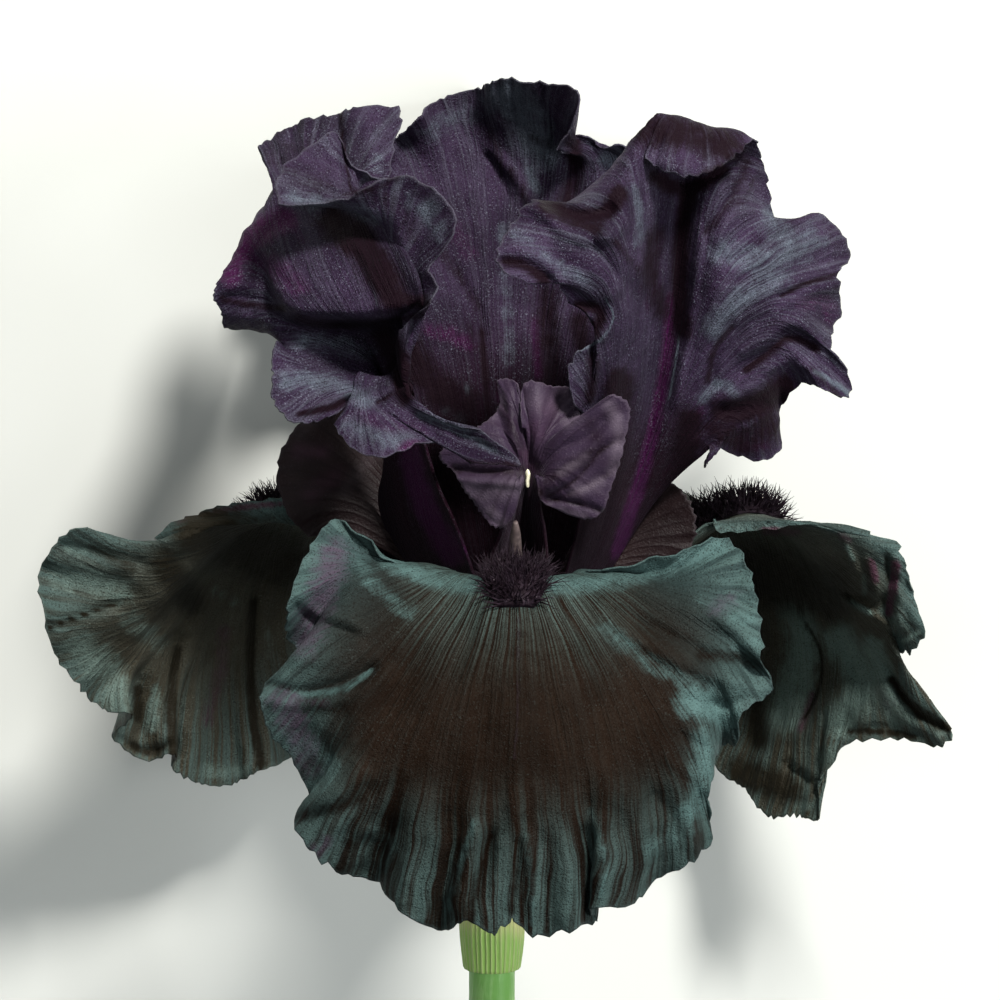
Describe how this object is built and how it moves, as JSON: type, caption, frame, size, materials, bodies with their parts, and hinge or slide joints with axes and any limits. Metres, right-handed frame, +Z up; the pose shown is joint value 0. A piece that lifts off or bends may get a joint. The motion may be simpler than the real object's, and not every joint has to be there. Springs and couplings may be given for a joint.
{
  "type": "bearded iris bloom",
  "caption": "Near-black violet bearded iris bloom with ruffled standards and falls, dark beards, crested style arms and a short cut stem, lying down.",
  "frame": {"origin": "bottom centre of the bounding box of the bloom as it lies", "axes": "+X to the viewer's right across the bloom, +Y from the cut stem towards the standards' tips, +Z up from the surface it lies on"},
  "size_m": [0.15, 0.1932, 0.1207],
  "materials": {
    "standard": "velvety near-black violet petal with a blue-grey to lilac sheen, fine radiating veins and thin bright rims",
    "fall": "velvety brown-black petal with a teal-slate sheen at the shoulders and margin and pale rays round the beard",
    "beard": "dense black-purple bristles",
    "style": "satin mauve-grey crest with fine veins, dark maroon towards the base, a pale stigma lip",
    "stamen": "pale matt filament and cream anther",
    "tube": "satin green flushed with dark purple",
    "green": "satin fresh green with fine lengthwise lines",
    "spathe": "dry papery tan tip over a thin green base, finely ribbed"
  },
  "bodies": {
    "root": {"standard_left": "standard", "standard_right": "standard", "standard_back": "standard", "fall_front": "fall", "fall_left": "fall", "fall_right": "fall", "beard_front": "beard", "beard_left": "beard", "beard_right": "beard", "style_arm_front": "style", "style_arm_left": "style", "style_arm_right": "style", "stamen_front": "stamen", "stamen_left": "stamen", "stamen_right": "stamen", "perianth_tube": "tube", "ovary": "green", "stem": "green", "spathe_outer": "spathe", "spathe_inner": "spathe"}
  },
  "joints": []
}
